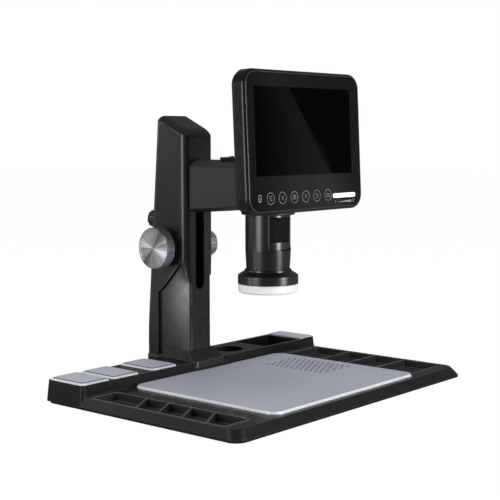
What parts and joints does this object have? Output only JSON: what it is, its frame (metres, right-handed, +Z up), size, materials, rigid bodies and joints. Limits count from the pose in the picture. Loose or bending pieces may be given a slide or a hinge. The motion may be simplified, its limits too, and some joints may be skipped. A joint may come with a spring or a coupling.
{
  "type": "lcd digital microscope",
  "caption": "Bench digital microscope: tray base with storage, rack-and-pinion column, camera head with lamp ring and a tilting display.",
  "frame": {"origin": "centre of the base's footprint on the table, at the underside of the centre rubber foot", "axes": "+X to the user's right along the wide base, +Y away from the user towards the column, +Z up"},
  "size_m": [0.376, 0.2835, 0.3269],
  "materials": {
    "black_abs": "fine-textured black ABS",
    "column_abs": "satin black ABS",
    "grey_cast": "dark grey powder coat",
    "zinc_cover": "black zinc sheet",
    "rubber": "soft rubber",
    "steel": "zinc-plated steel",
    "rod_steel": "ground steel",
    "silver_plate": "satin silver paint on steel",
    "silver_lid": "satin silver paint on plastic",
    "anodised": "turned and brushed",
    "brass": "machined",
    "barrel": "satin black anodised",
    "wheel_black": "smooth black",
    "diffuser": "milky acrylic",
    "board": "green solder mask",
    "white_board": "white solder mask",
    "lens": "polished, coated",
    "screen_glass": "black-backed cover glass",
    "lcd": "display module",
    "gloss_black": "satin-gloss black ABS"
  },
  "bodies": {
    "base": {"base_shell": "black_abs", "bottom_cover": "zinc_cover", "rubber_feet": "rubber", "base_screws": "steel", "left_parts_tray": "black_abs", "right_parts_tray": "black_abs", "stage_plate": "silver_plate", "end_cover_plate": "silver_lid", "column_foot": "black_abs", "column_bolts": "steel", "column_body": "column_abs", "side_cover_left": "column_abs", "side_cover_right": "column_abs", "guide_rods": "rod_steel", "shaft_bushes": "black_abs"},
    "lid_1": {"storage_lid_1": "silver_lid"},
    "lid_2": {"storage_lid_2": "silver_lid"},
    "lid_3": {"storage_lid_3": "silver_lid"},
    "head": {"carriage": "grey_cast", "rack": "steel", "arm_housing": "grey_cast", "arm_screws": "steel", "barrel_housing": "barrel", "barrel_cap": "barrel", "inner_tube": "barrel", "retainer_rings": "barrel", "sensor_board": "board", "lamp_housing": "barrel", "lamp_board": "white_board", "lamp_diffuser": "diffuser", "tilt_bracket": "zinc_cover", "tilt_pin": "steel", "bracket_screws": "steel"},
    "focus_drive": {"pinion_shaft": "rod_steel", "pinion": "brass", "knob_left": "anodised", "knob_right": "anodised"},
    "lock_handle": {"lock_knob": "black_abs", "lock_screw": "steel"},
    "lock_shoe": {"lock_pad": "brass"},
    "focus_ring": {"focus_wheel": "wheel_black"},
    "lens_group": {"lens_carrier": "barrel", "lens_front": "lens", "lens_rear": "lens"},
    "display": {"display_frame": "gloss_black", "display_rear_shell": "black_abs", "display_glass": "screen_glass", "lcd_panel": "lcd", "display_board": "board", "touch_board": "board", "hinge_leaf": "zinc_cover", "display_screws": "steel"}
  },
  "joints": [
    {"name": "lid_1_lift", "type": "slide", "parent": "base", "child": "lid_1", "axis": [0, 0, 1], "range_m": [0, 0.03]},
    {"name": "lid_2_lift", "type": "slide", "parent": "base", "child": "lid_2", "axis": [0, 0, 1], "range_m": [0, 0.03]},
    {"name": "lid_3_lift", "type": "slide", "parent": "base", "child": "lid_3", "axis": [0, 0, 1], "range_m": [0, 0.03]},
    {"name": "head_lift", "type": "slide", "parent": "base", "child": "head", "axis": [0, 0, 1], "range_m": [-0.076, 0.004]},
    {"name": "focus_knob_turn", "type": "hinge", "parent": "base", "child": "focus_drive", "pos_m": [0, 0.1185, 0.1435], "axis": [1, 0, 0], "range_deg": [-29, 545]},
    {"name": "lock_turn", "type": "hinge", "parent": "base", "child": "lock_handle", "pos_m": [-0.0033, 0.14, 0.172], "axis": [0, 1, 0], "range_deg": [0, 200]},
    {"name": "lock_shoe_slide", "type": "slide", "parent": "base", "child": "lock_shoe", "axis": [0, -1, 0], "range_m": [0, 0.00045]},
    {"name": "focus_turn", "type": "hinge", "parent": "head", "child": "focus_ring", "pos_m": [0, -0.0064, 0.168], "axis": [0, 0, 1], "range_deg": [-150, 150]},
    {"name": "lens_slide", "type": "slide", "parent": "head", "child": "lens_group", "axis": [0, 0, 1], "range_m": [-0.004, 0.004]},
    {"name": "display_tilt", "type": "hinge", "parent": "head", "child": "display", "pos_m": [0, -0.028, 0.2442], "axis": [-1, 0, 0], "range_deg": [0, 35]}
  ],
  "couplings": [
    {"joint": "focus_knob_turn", "follows": "head_lift", "rad_per_m": -125},
    {"joint": "lock_turn", "follows": "lock_shoe_slide", "rad_per_m": 7757},
    {"joint": "focus_turn", "follows": "lens_slide", "rad_per_m": 654.5}
  ]
}
